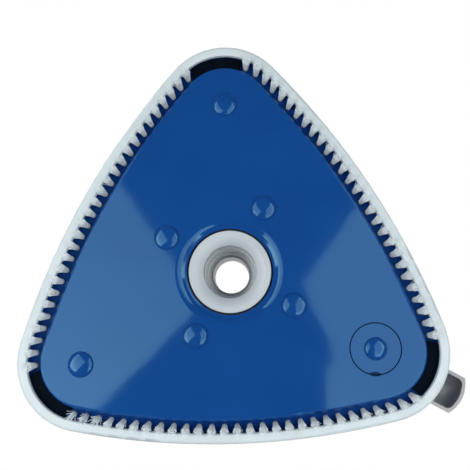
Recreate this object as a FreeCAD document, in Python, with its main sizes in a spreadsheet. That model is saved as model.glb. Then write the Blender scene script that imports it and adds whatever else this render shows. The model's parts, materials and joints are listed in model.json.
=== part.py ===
import FreeCAD, Part
import math
import os
import re
import Sketcher

from FreeCAD import Placement, Rotation, Vector

# Manual pool vacuum head, triangular, standing on its bristle tips.
# Z is up from the floor, the hub axis is x = y = 0, and the handle lies back over the rear (+Y) corner.

SIZES = (
    # plan of the head, measured from the hub axis
    ("corner_reach", 163.9, "hub axis to the bumper's edge at a corner"),
    ("side_bulge", 10.75, "how far a side bows out past a straight one"),
    ("corner_radius", 47.4, "plan radius of the bumper at a corner"),
    ("bumper_band", 7.0, "width of the bumper's lower lip"),
    ("channel_width", 7.6, "width of the brush channel"),
    ("seal_from", -8.8, "degrees from the corner line to a corner seal's clockwise end"),
    ("seal_to", 4.7, "degrees from the corner line to a corner seal's other end"),
    ("end_gap", 0.1, "degrees by which each end of a strip or a seal is cut back"),
    # levels above the floor
    ("bumper_under", 4.5, "underside of the bumper"),
    ("plate_under", 7.5, "underside of the base plate"),
    ("strip_face", 13.5, "face of the brush strips that the tufts leave"),
    ("seal_face", 8.5, "underside of the corner seals"),
    ("channel_roof", 18.0, "roof of the brush channel"),
    ("seat_level", 46.0, "flat seat of the handle bracket on the top shell"),
    ("hinge_level", 63.0, "handle pivot and pole axis"),
    # walls and general fits
    ("plate_wall", 3.0, "wall of the base plate and its flange"),
    ("shell_wall", 3.0, "wall of the top shell"),
    ("snug", 0.1, "gap between fixed pieces that fit round each other"),
    ("running", 0.3, "gap between turning faces"),
    ("lap", 1.0, "how far forms that join run into each other"),
    ("overcut", 20.0, "how far a cut runs past what it cuts"),
    ("edge_break", 0.6, "small rounding of moulded edges"),
    # bumper
    ("bumper_wall", 4.2, "outer wall of the bumper"),
    ("bumper_lip", 3.0, "thickness of the bumper's two lips"),
    ("bumper_cover", 10.0, "reach of the upper lip over the shell's flange"),
    ("bumper_round", 2.6, "rounding of the bumper's outer edges"),
    ("lip_round", 1.0, "rounding of the lips' inner edges"),
    # base plate
    ("dish_radius", 36.0, "rim of the dish round the hub"),
    ("dish_depth", 2.4, "depth of the dish round the hub"),
    ("dish_ledge", 1.5, "flat left between the dish's slope and the hub's hole"),
    ("dish_round", 9.0, "rounding of the dish's rim"),
    ("hub_gap", 1.4, "gap between the neck's ring and the plate"),
    ("plate_round", 2.2, "rounding of the plate's edge"),
    ("dome_radius", 8.9, "radius of the domes under the screw posts"),
    ("dome_rise", 3.0, "height of the domes"),
    ("hub_dome_reach", 50.6, "hub axis to the four inner domes"),
    ("corner_dome_back", 42.9, "bumper's edge at a corner to the two front domes"),
    ("post_radius", 5.0, "radius of the screw posts"),
    ("screw_radius", 1.6, "shank radius of the screws"),
    ("screw_head", 3.6, "head radius of the screws"),
    ("screw_head_rise", 2.4, "head height of the screws"),
    ("screw_head_top", 2.5, "radius of the flat top of the screws' heads"),
    ("bore_spare", 1.5, "how far the screw bores run past the screws' ends"),
    ("screw_length", 16.0, "shank length of the shell screws"),
    ("bracket_screw_length", 24.0, "shank length of the bracket screws"),
    ("corner_post_top", 26.0, "top of the corner screw posts"),
    ("rib_wall", 2.0, "thickness of the stiffening ribs"),
    ("rib_rise", 6.0, "height of the stiffening ribs"),
    # plug at the rear corner
    ("plug_radius", 17.2, "radius of the access plug"),
    ("plug_gap", 0.8, "gap round the access plug"),
    ("plug_back", 50.7, "bumper's edge at the rear corner to the plug's centre"),
    ("plug_dome_radius", 7.9, "radius of the dome on the access plug"),
    ("plug_seal_rise", 0.8, "thickness of the plug's seal"),
    ("ledge_width", 3.0, "ledge that the plug is drawn up against"),
    ("notch_length", 9.0, "length of the pry notch along the plug's gap"),
    ("notch_width", 3.2, "width of the pry notch"),
    ("notch_depth", 1.8, "depth of the pry notch"),
    ("notch_in", 0.6, "how far the notch's middle lies inside the gap's"),
    ("notch_angle", 155.0, "degrees round the plug to the pry notch"),
    # weights
    ("weight_radius", 16.5, "radius of the ballast rings"),
    ("weight_rise", 8.0, "height of the ballast rings"),
    # top shell
    ("wall_inset", 12.0, "bumper's edge to the shell's side wall"),
    ("crown_level", 45.0, "top of the shell's dome"),
    ("crown_rim", 30.0, "level of the shell's dome over the side wall at a corner"),
    ("crown_round", 4.0, "rounding between the dome and the side wall"),
    ("seat_radius", 60.0, "radius of the flat seat"),
    ("seat_round", 1.5, "rounding of the seat's rim"),
    ("sleeve_wall", 3.0, "wall of the sleeve round the neck"),
    ("pillar_radius", 6.4, "radius of the shell's corner pillars"),
    # swivel neck
    ("neck_under", 9.4, "underside of the neck's ring"),
    ("ring_radius", 29.0, "radius of the neck's ring"),
    ("mouth_radius", 18.8, "radius of the suction mouth"),
    ("mouth_wide", 25.0, "radius at which the mouth's lip starts to slope in"),
    ("mouth_fall", 2.0, "height of the mouth's sloping lip"),
    ("collar_radius", 35.0, "radius of the thrust collar"),
    ("collar_rise", 3.5, "height of the thrust collar"),
    ("barrel_radius", 24.0, "outer radius of the neck's barrel"),
    ("barrel_gap", 0.5, "gap between the barrel and its sleeve"),
    ("barrel_top", 52.0, "top of the neck's barrel"),
    ("hose_radius", 19.0, "radius of the spigot for 38 mm hose"),
    ("hose_rise", 18.0, "height of the spigot for 38 mm hose"),
    ("small_hose_radius", 16.0, "radius of the spigot for 32 mm hose"),
    ("small_hose_rise", 18.0, "height of the spigot for 32 mm hose"),
    ("bore_radius", 14.0, "radius of the neck's upper bore"),
    ("neck_slope", 2.0, "height of the slope from the barrel to the spigot"),
    ("washer_rise", 1.2, "thickness of the thrust washer"),
    ("ring_seal_radius", 1.4, "section radius of the neck's seal ring"),
    ("ring_seal_level", 38.0, "level of the neck's seal ring"),
    # handle bracket
    ("bracket_rise", 4.0, "thickness of the bracket's ring"),
    ("bracket_bore", 27.0, "inner radius of the bracket's ring"),
    ("bracket_radius", 45.0, "outer radius of the bracket's ring"),
    ("lug_radius", 7.2, "radius of the bracket's screw lugs"),
    ("ear_wall", 6.0, "thickness of the bracket's ears"),
    ("ear_radius", 9.0, "radius of the ears' heads"),
    ("ear_foot", 17.0, "half width of the ears' feet"),
    ("stop_near", 12.0, "hub line to the near face of a stop"),
    ("stop_length", 6.0, "length of a stop"),
    # handle
    ("arm_inside", 26.5, "hub line to the inner face of a fork arm"),
    ("arm_wall", 6.0, "thickness of a fork arm"),
    ("arm_half_rise", 6.0, "half height of the fork"),
    ("arm_head", 8.2, "radius of the fork's pivot ends"),
    ("arm_straight", 36.0, "pivot to the end of the straight arms"),
    ("shoulder_round", 18.0, "rounding where the fork starts to narrow"),
    ("fork_end", 96.0, "pivot to where the fork meets the pole spigot"),
    ("spigot_lap", 24.0, "how far the pole spigot runs back over the fork"),
    ("nose_round", 4.0, "rounding where the spigot's arch begins on the fork"),
    ("fork_round", 1.4, "rounding of the fork's long edges"),
    ("handle_reach", 199.0, "pivot to the handle's tip"),
    ("pole_radius", 14.7, "outer radius of the pole spigot"),
    ("pole_skirt", 3.0, "straight side of the spigot below its arch"),
    ("handle_wall", 2.6, "wall of the pole spigot"),
    ("tip_round", 5.0, "rounding inside the handle's closed tip"),
    ("tip_bulge", 4.6, "how far the tip's curve stands out"),
    ("pin_radius", 4.0, "radius of the pivot pins"),
    ("pin_gap", 0.08, "running gap round the pivot pins"),
    ("pin_head", 6.0, "head radius of the pivot pins"),
    ("pin_head_rise", 1.8, "head height of the pivot pins"),
    ("pin_past", 0.5, "how far a pin stands out inside its arm"),
    # lock buttons and their spring
    ("button_back", 37.0, "tip to the lock buttons"),
    ("button_radius", 4.4, "radius of the lock buttons"),
    ("button_gap", 0.35, "gap round the lock buttons"),
    ("button_round", 2.6, "rounding of the lock buttons' faces"),
    ("button_out", 5.4, "how far the buttons stand out of the spigot"),
    ("clip_wall", 0.8, "thickness of the spring clip"),
    ("clip_rise", 8.0, "height of the spring clip"),
    ("clip_bend", 4.0, "radius of the spring clip's bend"),
    ("clip_length", 50.0, "bend to the ends of the spring clip"),
    ("clip_past", 7.0, "how far the spring clip runs past the buttons"),
    # brushes
    ("tuft_count", 28, "tufts on each brush strip"),
    ("tuft_radius", 2.35, "radius of a tuft's tip"),
    ("tuft_root", 2.1, "radius of a tuft's root"),
    ("tuft_lean", 1.9, "how far a tuft's tip leans outward"),
)

# Places worked out from the sizes, each in terms of the sizes and of the places above it.
PLACES = {
    "corner_centre": "corner_reach - corner_radius",
    "side_less_corner": "corner_centre / 2 + side_bulge",
    "side_reach": "side_less_corner + corner_radius",
    "plug_reach": "corner_reach - plug_back",
    "corner_dome_reach": "corner_reach - corner_dome_back",
    "side_offset": "(corner_centre^2 - side_less_corner^2) / (2 * side_less_corner - corner_centre)",
    "side_radius": "side_offset + side_reach",
    "plate_inset": "bumper_band + channel_width",
    "flange_inset": "bumper_wall + snug",
    "skirt_inset": "plate_inset + plate_wall",
    "plate_top": "plate_under + plate_wall",
    "dish_floor": "plate_under + dish_depth",
    "dish_top": "dish_floor + plate_wall",
    "hub_hole": "ring_radius + hub_gap",
    "flange_top": "channel_roof + plate_wall",
    "shell_flange_top": "flange_top + shell_wall",
    "bumper_top": "shell_flange_top + snug + bumper_lip",
    "seat_under": "seat_level - shell_wall",
    "crown_drop": "crown_level - crown_rim",
    "crown_radius": "((corner_reach - wall_inset)^2 + crown_drop^2) / (2 * crown_drop)",
    "crown_centre": "crown_level - crown_radius",
    "ledge_under": "plate_top + plug_seal_rise",
    "ledge_top": "ledge_under + plate_wall",
    "post_bore": "screw_radius + snug",
    "notch_radius": "(notch_length^2 + notch_width^2) / (4 * notch_width)",
    "lip_level": "neck_under + mouth_fall",
    "corner_seat": "corner_post_top + shell_wall",
    "collar_under": "dish_top + running",
    "collar_top": "collar_under + collar_rise",
    "washer_under": "collar_top + running",
    "washer_top": "washer_under + washer_rise",
    "sleeve_bore": "barrel_radius + barrel_gap",
    "sleeve_radius": "sleeve_bore + sleeve_wall",
    "hose_under": "barrel_top + neck_slope",
    "hose_top": "hose_under + hose_rise",
    "neck_top": "hose_top + small_hose_rise",
    "bracket_top": "seat_level + bracket_rise",
    "arm_outside": "arm_inside + arm_wall",
    "ear_inside": "arm_outside + running",
    "ear_outside": "ear_inside + ear_wall",
    "fork_under": "hinge_level - arm_half_rise",
    "stop_top": "fork_under - running",
    "spigot_under": "hinge_level - pole_skirt",
    "spigot_bore": "pole_radius - handle_wall",
    "tip_radius": "(pole_radius^2 + tip_bulge^2) / (2 * tip_bulge)",
    "button_reach": "handle_reach - button_back",
    "button_root": "spigot_bore - running",
    "clip_end": "button_reach + clip_past",
    "clip_centre": "clip_end - clip_length",
    "tuft_inset": "bumper_band + channel_width / 2",
}

CORNERS = {"rear": 0, "front_left": 120, "front_right": 240}
SIDES = {"left": 0, "front": 120, "right": 240}
HUB_SCREWS = (0, 90, 180, 270)
FRONT_CORNERS = (-30, -150)
DOME_ROOT = 20
FAR = 400
TINY = 0.05
WEDGE_STEPS = 5
TUFT_SIDES = 8
BORE_STEPS = 3
FULL_TURN = 360

doc = FreeCAD.newDocument("vacuum_head")
sheet = doc.addObject("Spreadsheet::Sheet", "Sizes")
for row, (alias, value, note) in enumerate(SIZES, start=1):
    sheet.set(f"A{row}", note)
    sheet.set(f"B{row}", str(value))
    sheet.setAlias(f"B{row}", alias)
doc.recompute()

ALIASES = {alias for alias, value, note in SIZES}
sub_parts = {}


def spelled(text):
    """The sheet's own spelling of an expression on sizes and places."""
    def name(match):
        word = match.group()
        if word in PLACES:
            return "(" + spelled(PLACES[word]) + ")"
        return "Sizes." + word if word in ALIASES else word
    return re.sub(r"[a-z_]+", name, str(text))


def value_of(text):
    return float(sheet.evalExpression(spelled(text)))


def bind(thing, field, text):
    thing.setExpression(field, spelled(text))


def keep(thing, solids=1):
    """Register a finished sub-part and the number of solids it holds."""
    sub_parts[thing.Label] = (thing, solids)
    return thing


def new_body(label, turn=0, base=(0, 0, 0)):
    body = doc.addObject("PartDesign::Body", label)
    body.Label = label
    body.Placement = Placement(Vector(*base), Rotation(Vector(0, 0, 1), turn))
    return keep(body)


class Drawing:
    """A sketch on one of its body's origin planes, with every point bound to the sheet."""

    def __init__(self, body, name, plane="XY_Plane", level=0, across=0, along=0):
        self.body = body
        self.sketch = body.newObject("Sketcher::SketchObject", name)
        support = next(part for part in body.Origin.OriginFeatures if part.Role == plane)
        self.sketch.AttachmentSupport = [(support, "")]
        self.sketch.MapMode = "FlatFace"
        for axis, text in (("x", across), ("y", along), ("z", level)):
            bind(self.sketch, f"AttachmentOffset.Base.{axis}", text)

    def hold(self, kind, *where, text):
        index = self.sketch.addConstraint(Sketcher.Constraint(kind, *where, value_of(text)))
        self.sketch.setExpression(f"Constraints[{index}]", spelled(text))

    def place(self, shape, point, x, y):
        self.hold("DistanceX", -1, 1, shape, point, text=x)
        self.hold("DistanceY", -1, 1, shape, point, text=y)

    def circle(self, radius, x=0, y=0):
        centre = Vector(value_of(x), value_of(y), 0)
        ring = Part.Circle(centre, Vector(0, 0, 1), value_of(radius))
        shape = self.sketch.addGeometry(ring)
        self.hold("Radius", shape, text=radius)
        self.place(shape, 3, x, y)

    def rings(self, radius, reach, angles):
        """One circle at each angle round the hub axis."""
        for angle in angles:
            self.circle(radius, f"({reach}) * cos({angle})", f"({reach}) * sin({angle})")

    def loop(self, points, bends=None):
        """Edges from point to point and back; bends gives an edge a radius, signed + for a left turn."""
        bends = bends or {}
        spots = [Vector(value_of(x), value_of(y), 0) for x, y in points]
        count = len(points)
        edges = []
        for index in range(count):
            start = spots[index]
            end = spots[(index + 1) % count]
            if index not in bends:
                edges.append(self.sketch.addGeometry(Part.LineSegment(start, end)))
                continue
            radius, turn = bends[index]
            edges.append(self.sketch.addGeometry(arc_between(start, end, value_of(radius), turn)))
            if abs((end - start).Length - 2 * value_of(radius)) < TINY:
                self.hold("DistanceY", -1, 1, edges[-1], 3, text=points[index][1])
            else:
                self.hold("Radius", edges[-1], text=radius)
        for index, edge in enumerate(edges):
            first, last = (1, 2) if bends.get(index, (0, 1))[1] > 0 else (2, 1)
            self.place(edge, first, *points[index])
            after = (index + 1) % count
            near = 1 if bends.get(after, (0, 1))[1] > 0 else 2
            self.sketch.addConstraint(Sketcher.Constraint("Coincident", edge, last, edges[after], near))

    def triangle(self, inset=0):
        """The head's plan outline: three corner arcs and three bulging side arcs, all tangent."""
        corner = value_of(f"corner_radius - ({inset})")
        side = value_of(f"side_radius - ({inset})")
        centre = value_of("corner_centre")
        offset = value_of("side_offset")
        half = math.asin(centre * math.sin(math.pi / 3) / (side - corner))
        span = math.pi / 3 - half
        arcs = []
        for turn in (90, 210, 330):
            way = math.radians(turn)
            middle = way + math.pi / 3
            hub = Vector(math.cos(way), math.sin(way), 0) * centre
            far = Vector(math.cos(middle), math.sin(middle), 0) * -offset
            rounds = Part.Circle(hub, Vector(0, 0, 1), corner)
            bulge = Part.Circle(far, Vector(0, 0, 1), side)
            arcs.append(self.sketch.addGeometry(Part.ArcOfCircle(rounds, way - span, way + span)))
            self.hold("Radius", arcs[-1], text=f"corner_radius - ({inset})")
            self.place(arcs[-1], 3, f"corner_centre * cos({turn})", f"corner_centre * sin({turn})")
            arcs.append(self.sketch.addGeometry(Part.ArcOfCircle(bulge, middle - half, middle + half)))
            self.hold("Radius", arcs[-1], text=f"side_radius - ({inset})")
        for index, arc in enumerate(arcs):
            after = arcs[(index + 1) % len(arcs)]
            self.sketch.addConstraint(Sketcher.Constraint("Tangent", arc, 2, after, 1))

    def band(self, outer, inner):
        """The ring between two insets of the plan outline."""
        self.triangle(outer)
        self.triangle(inner)

    def sector(self, start, sweep):
        """A wedge from the hub axis that takes in everything between two directions."""
        spots = [(0, 0)]
        for step in range(WEDGE_STEPS + 1):
            angle = f"({start}) + ({sweep}) * {step} / {WEDGE_STEPS}"
            spots.append((f"{FAR} * cos({angle})", f"{FAR} * sin({angle})"))
        self.loop(spots)

    def _extrude(self, kind, length, back, both):
        feature = self.body.newObject(f"PartDesign::{kind}", self.sketch.Name + "_" + kind.lower())
        feature.Profile = self.sketch
        feature.Reversed = back
        feature.Midplane = both
        if length is None:
            feature.Type = "ThroughAll"
        else:
            bind(feature, "Length", length)
        self.body.Tip = feature
        return feature

    def pad(self, length, back=False, both=False):
        return self._extrude("Pad", length, back, both)

    def pocket(self, length=None, back=False, both=False):
        return self._extrude("Pocket", length, back, both)

    def turn(self, kind="Revolution"):
        feature = self.body.newObject(f"PartDesign::{kind}", self.sketch.Name + "_turned")
        feature.Profile = self.sketch
        feature.ReferenceAxis = (self.sketch, ["V_Axis"])
        feature.Angle = FULL_TURN
        self.body.Tip = feature
        return feature


def arc_between(start, end, radius, turn):
    """An arc of a given radius; turn is + where the path turns left."""
    chord = end - start
    rise = math.sqrt(max(radius ** 2 - (chord.Length / 2) ** 2, 0))
    left = Vector(-chord.y, chord.x, 0).normalize()
    centre = (start + end) * 0.5 + left * rise * turn
    ring = Part.Circle(centre, Vector(0, 0, 1), radius)
    first, last = (start, end) if turn > 0 else (end, start)
    a = math.atan2(first.y - centre.y, first.x - centre.x)
    b = math.atan2(last.y - centre.y, last.x - centre.x)
    return Part.ArcOfCircle(ring, a, b if b > a else b + 2 * math.pi)


def dome(body, name, radius, x, y, level):
    """A shallow round dome, half sunk in the wall that carries it."""
    feature = body.newObject("PartDesign::AdditiveEllipsoid", name)
    bind(feature, "Radius1", "dome_rise")
    bind(feature, "Radius2", radius)
    bind(feature, "Radius3", radius)
    feature.Angle2 = DOME_ROOT
    bind(feature, "Placement.Base.x", x)
    bind(feature, "Placement.Base.y", y)
    bind(feature, "Placement.Base.z", level)
    body.Tip = feature
    return feature


def patterned(body, name, features, count):
    """Copies of features round the hub axis."""
    pattern = body.newObject("PartDesign::PolarPattern", name)
    pattern.Originals = features
    axis = next(part for part in body.Origin.OriginFeatures if part.Role == "Z_Axis")
    pattern.Axis = (axis, [""])
    pattern.Angle = FULL_TURN
    pattern.Occurrences = count
    body.Tip = pattern
    return pattern


def mirrored(body, name, features, plane="YZ_Plane"):
    mirror = body.newObject("PartDesign::Mirrored", name)
    mirror.Originals = features
    support = next(part for part in body.Origin.OriginFeatures if part.Role == plane)
    mirror.MirrorPlane = (support, [""])
    body.Tip = mirror
    return mirror


def rounded(body, name, radius, wanted):
    """Round the edges of the body so far that a test picks out."""
    doc.recompute()
    base = body.Tip
    picked = [f"Edge{index}" for index, edge in enumerate(base.Shape.Edges, start=1) if wanted(edge)]
    if not picked:
        raise RuntimeError(f"{body.Label}: no edge to round for {name}")
    feature = body.newObject("PartDesign::Fillet", name)
    feature.Base = (base, picked)
    bind(feature, "Radius", radius)
    body.Tip = feature
    return feature


def level_arc(edge, level):
    """The curve of an arc that lies flat at a level, or None for any other edge."""
    box = edge.BoundBox
    flat = box.ZMax - box.ZMin < TINY and abs(box.ZMax - value_of(level)) < TINY
    if edge.Degenerated or not flat or not hasattr(edge.Curve, "Radius"):
        return None
    return edge.Curve


def on_ring(edge, radius, level):
    """Whether an edge lies on a circle of this radius about the body's own axis at this level."""
    arc = level_arc(edge, level)
    if arc is None or math.hypot(arc.Center.x, arc.Center.y) > TINY:
        return False
    return abs(arc.Radius - value_of(radius)) < TINY


def on_outline(edge, inset, level):
    """Whether an edge lies on the plan outline at this inset and level."""
    arc = level_arc(edge, level)
    radii = (value_of(f"corner_radius - ({inset})"), value_of(f"side_radius - ({inset})"))
    return arc is not None and any(abs(arc.Radius - radius) < TINY for radius in radii)


def outline_point(angle, inset):
    """Where the direction `angle` from the hub axis meets the plan outline at this inset."""
    toward_corner = math.radians((angle - 90 + 60) % 120 - 60)
    centre = value_of("corner_centre")
    corner = value_of(f"corner_radius - ({inset})")
    half = math.asin(centre * math.sin(math.pi / 3) / value_of("side_radius - corner_radius"))
    span = math.pi / 3 - half
    touch = math.atan2(corner * math.sin(span), centre + corner * math.cos(span))
    if abs(toward_corner) < touch:
        sweep = centre * math.sin(toward_corner)
        reach = centre * math.cos(toward_corner) + math.sqrt(corner ** 2 - sweep ** 2)
    else:
        toward_side = math.pi / 3 - abs(toward_corner)
        offset = value_of("side_offset")
        side = value_of(f"side_radius - ({inset})")
        sweep = offset * math.sin(toward_side)
        reach = math.sqrt(side ** 2 - sweep ** 2) - offset * math.cos(toward_side)
    way = math.radians(angle)
    return Vector(reach * math.cos(way), reach * math.sin(way), 0), math.degrees(touch)


# ---------------------------------------------------------------- base plate and what closes it

def make_base_plate():
    body = new_body("base_plate")
    plate = Drawing(body, "plate_plan", level="plate_under")
    plate.triangle("plate_inset")
    plate.circle("dish_radius + plate_wall / 3")
    plate.circle("plug_radius + plug_gap", y="plug_reach")
    plate.pad("plate_wall")

    dish = Drawing(body, "dish_section", "XZ_Plane")
    dish.loop([
        ("dish_radius + plate_wall", "plate_under"),
        ("dish_radius + plate_wall", "plate_top"),
        ("dish_radius", "dish_top"),
        ("hub_hole", "dish_top"),
        ("hub_hole", "dish_floor"),
        ("hub_hole + dish_ledge", "dish_floor"),
        ("dish_radius", "plate_under"),
    ])
    dish.turn()

    skirt = Drawing(body, "skirt_plan", level="plate_under")
    skirt.band("plate_inset", "skirt_inset")
    skirt.pad("flange_top - plate_under")
    roof = Drawing(body, "channel_roof_plan", level="channel_roof")
    roof.band("flange_inset", "skirt_inset")
    roof.pad("plate_wall")
    wall = Drawing(body, "channel_wall_plan", level="bumper_under + bumper_lip + snug")
    wall.band("flange_inset", "bumper_band")
    wall.pad("channel_roof - bumper_under - bumper_lip - snug")

    domes = [("hub_dome_reach", angle) for angle in HUB_SCREWS]
    domes += [("corner_dome_reach", angle) for angle in FRONT_CORNERS]
    for reach, angle in domes:
        spot = (f"{reach} * cos({angle})", f"{reach} * sin({angle})")
        dome(body, "plate_dome", "dome_radius", *spot, "plate_under")

    posts = Drawing(body, "hub_posts", level="plate_top")
    posts.rings("post_radius", "hub_dome_reach", HUB_SCREWS)
    posts.pad("seat_under - plate_top")
    corner_posts = Drawing(body, "corner_posts", level="plate_top")
    corner_posts.rings("post_radius", "corner_dome_reach", FRONT_CORNERS)
    corner_posts.pad("corner_post_top - plate_top")

    well = Drawing(body, "plug_well", level="plate_top")
    well.circle("plug_radius + plug_gap", y="plug_reach")
    well.circle("plug_radius + plug_gap + plate_wall", y="plug_reach")
    well.pad("ledge_top - plate_top")
    ledge = Drawing(body, "plug_ledge", level="ledge_under")
    ledge.circle("plug_radius - ledge_width", y="plug_reach")
    ledge.circle("plug_radius + plug_gap + plate_wall / 2", y="plug_reach")
    ledge.pad("ledge_top - ledge_under")

    rib = Drawing(body, "rib_plan", level="plate_top")
    rib.loop([
        ("rib_wall / 2", "-side_reach + skirt_inset"),
        ("rib_wall / 2", "-hub_dome_reach - post_radius"),
        ("-rib_wall / 2", "-hub_dome_reach - post_radius"),
        ("-rib_wall / 2", "-side_reach + skirt_inset"),
    ])
    patterned(body, "ribs", [rib.pad("rib_rise")], len(SIDES))

    bores = Drawing(body, "hub_post_bores", level="seat_under")
    bores.rings("post_bore", "hub_dome_reach", HUB_SCREWS)
    bores.pocket("bracket_screw_length - bracket_rise - shell_wall + bore_spare")
    corner_bores = Drawing(body, "corner_post_bores", level="corner_post_top")
    corner_bores.rings("post_bore", "corner_dome_reach", FRONT_CORNERS)
    corner_bores.pocket("screw_length - shell_wall + bore_spare")

    pry_notch(body, "plug_reach")
    rounded(body, "dish_rim_round", "dish_round", lambda e: on_ring(e, "dish_radius", "plate_under"))
    rounded(body, "plate_edge_round", "plate_round", lambda e: on_outline(e, "plate_inset", "plate_under"))


def pry_notch(body, centre):
    """The lens-shaped notch that straddles the plug's gap; `centre` is how far back the plug's axis lies."""
    reach = "(plug_radius + plug_gap / 2 - notch_in)"
    ends = []
    for end in (-1, 1):
        x = f"{reach} * cos(notch_angle) - {end} * notch_length / 2 * sin(notch_angle)"
        y = f"{centre} + {reach} * sin(notch_angle) + {end} * notch_length / 2 * cos(notch_angle)"
        ends.append((x, y))
    lens = Drawing(body, "pry_notch", level="plate_under")
    lens.loop(ends, {0: ("notch_radius", 1), 1: ("notch_radius", 1)})
    lens.pocket("notch_depth", back=True)


def make_access_plug():
    body = new_body("access_plug", base=(0, value_of("plug_reach"), 0))
    disc = Drawing(body, "disc_plan", level="plate_under")
    disc.circle("plug_radius")
    disc.pad("plate_wall")
    post = Drawing(body, "plug_post", level="plate_top")
    post.circle("post_radius")
    post.pad("corner_post_top - plate_top")
    dome(body, "plug_dome", "plug_dome_radius", 0, 0, "plate_under")
    bore = Drawing(body, "plug_bore", level="corner_post_top")
    bore.circle("post_bore")
    bore.pocket("screw_length - shell_wall + bore_spare")
    pry_notch(body, 0)

    seal = new_body("plug_seal", base=(0, value_of("plug_reach"), 0))
    ring = Drawing(seal, "seal_plan", level="plate_top")
    ring.circle("plug_radius - snug")
    ring.circle("plug_radius - ledge_width")
    ring.pad("plug_seal_rise")


def make_weights():
    """Ballast rings round the three corner posts."""
    places = {
        "rear": ("plug_reach", "ledge_top"),
        "front_left": ("corner_dome_reach", "plate_top"),
        "front_right": ("corner_dome_reach", "plate_top"),
    }
    for corner, turn in CORNERS.items():
        reach, level = places[corner]
        way = math.radians(90 + turn)
        spot = Vector(math.cos(way), math.sin(way), 0) * value_of(reach)
        body = new_body(f"weight_{corner}", base=tuple(spot))
        ring = Drawing(body, f"weight_plan_{corner}", level=level)
        ring.circle("weight_radius")
        ring.circle("post_radius + running")
        ring.pad("weight_rise")
        top = f"{level} + weight_rise"
        rounded(body, f"weight_round_{corner}", "edge_break", lambda e: on_ring(e, "weight_radius", top))


# ---------------------------------------------------------------- brush channel

def make_channel_pieces():
    strip_sweep = "120 - seal_to + seal_from"
    seal_sweep = "seal_to - seal_from"
    for side, turn in SIDES.items():
        body = new_body(f"brush_strip_{side}", turn)
        ring = Drawing(body, f"strip_plan_{side}", level="strip_face")
        ring.band("bumper_band + snug", "plate_inset - snug")
        ring.pad("channel_roof - strip_face")
        away = Drawing(body, f"strip_ends_{side}", level="strip_face")
        away.sector(f"90 + seal_to + {strip_sweep} - end_gap", f"{FULL_TURN} - ({strip_sweep}) + 2 * end_gap")
        away.pocket("channel_roof - strip_face", back=True)
    for corner, turn in CORNERS.items():
        body = new_body(f"corner_seal_{corner}", turn)
        ring = Drawing(body, f"seal_plan_{corner}", level="seal_face")
        ring.band("bumper_band + snug", "plate_inset - snug")
        ring.pad("channel_roof - seal_face")
        away = Drawing(body, f"seal_ends_{corner}", level="seal_face")
        away.sector("90 + seal_to - end_gap", f"{FULL_TURN} - ({seal_sweep}) + 2 * end_gap")
        away.pocket("channel_roof - seal_face", back=True)


def tuft_path():
    """The middle line of the left brush strip, from the rear corner round to the front one."""
    rear, side, front = (90, 150, 210)
    touch = outline_point(rear, "tuft_inset")[1]
    start = rear + value_of("seal_to")
    end = front + value_of("seal_from")
    stations = [start, (start + rear + touch) / 2, rear + touch, side]
    stations += [front - touch, (end + front - touch) / 2, end]
    spots = [outline_point(angle, "tuft_inset")[0] for angle in stations]
    arcs = [Part.Arc(*spots[first:first + 3]).toShape() for first in (0, 2, 4)]
    return Part.Wire(arcs)


def many_sided(centre, radius, level, way):
    """A wire of TUFT_SIDES sides lying flat at a level, one side facing along `way`."""
    corners = []
    for side in range(TUFT_SIDES):
        angle = way + math.pi / TUFT_SIDES * (2 * side + 1)
        corners.append(centre + Vector(radius * math.cos(angle), radius * math.sin(angle), level))
    return Part.makePolygon(corners + corners[:1])


def make_bristles():
    """Straight leaning tufts, each a tapered many-sided solid from the strip down to the floor."""
    count = int(value_of("tuft_count"))
    radius = value_of("tuft_radius")
    lean = value_of("tuft_lean")
    stations = tuft_path().discretize(Number=2 * count + 1)
    tufts = []
    for index in range(1, 2 * count, 2):
        along = stations[index + 1] - stations[index - 1]
        out = Vector(along.y, -along.x, 0).normalize()
        if out.dot(stations[index]) < 0:
            out = -out
        way = math.atan2(out.y, out.x)
        tip = many_sided(stations[index] + out * lean, radius, 0, way)
        root = many_sided(stations[index], value_of("tuft_root"), value_of("strip_face"), way)
        tufts.append(Part.makeLoft([tip, root], True, True))
    for side, turn in SIDES.items():
        group = doc.addObject("Part::Feature", f"bristles_{side}")
        group.Label = f"bristles_{side}"
        group.Shape = Part.makeCompound(tufts)
        group.Placement = Placement(Vector(0, 0, 0), Rotation(Vector(0, 0, 1), turn))
        keep(group, count)


# ---------------------------------------------------------------- bumper and top shell

def make_bumper():
    body = new_body("bumper")
    outer = Drawing(body, "bumper_plan", level="bumper_under")
    outer.band(0, "bumper_wall")
    outer.pad("bumper_top - bumper_under")
    lower = Drawing(body, "lower_lip", level="bumper_under")
    lower.band("bumper_wall / 2", "bumper_band")
    lower.pad("bumper_lip")
    upper = Drawing(body, "upper_lip", level="bumper_top - bumper_lip")
    upper.band("bumper_wall / 2", "bumper_cover")
    upper.pad("bumper_lip")

    def outer_edge(edge):
        return on_outline(edge, 0, "bumper_under") or on_outline(edge, 0, "bumper_top")

    def lip_edge(edge):
        low = on_outline(edge, "bumper_band", "bumper_under")
        return low or on_outline(edge, "bumper_cover", "bumper_top")

    rounded(body, "outer_round", "bumper_round", outer_edge)
    rounded(body, "lip_edge_round", "lip_round", lip_edge)


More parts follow.
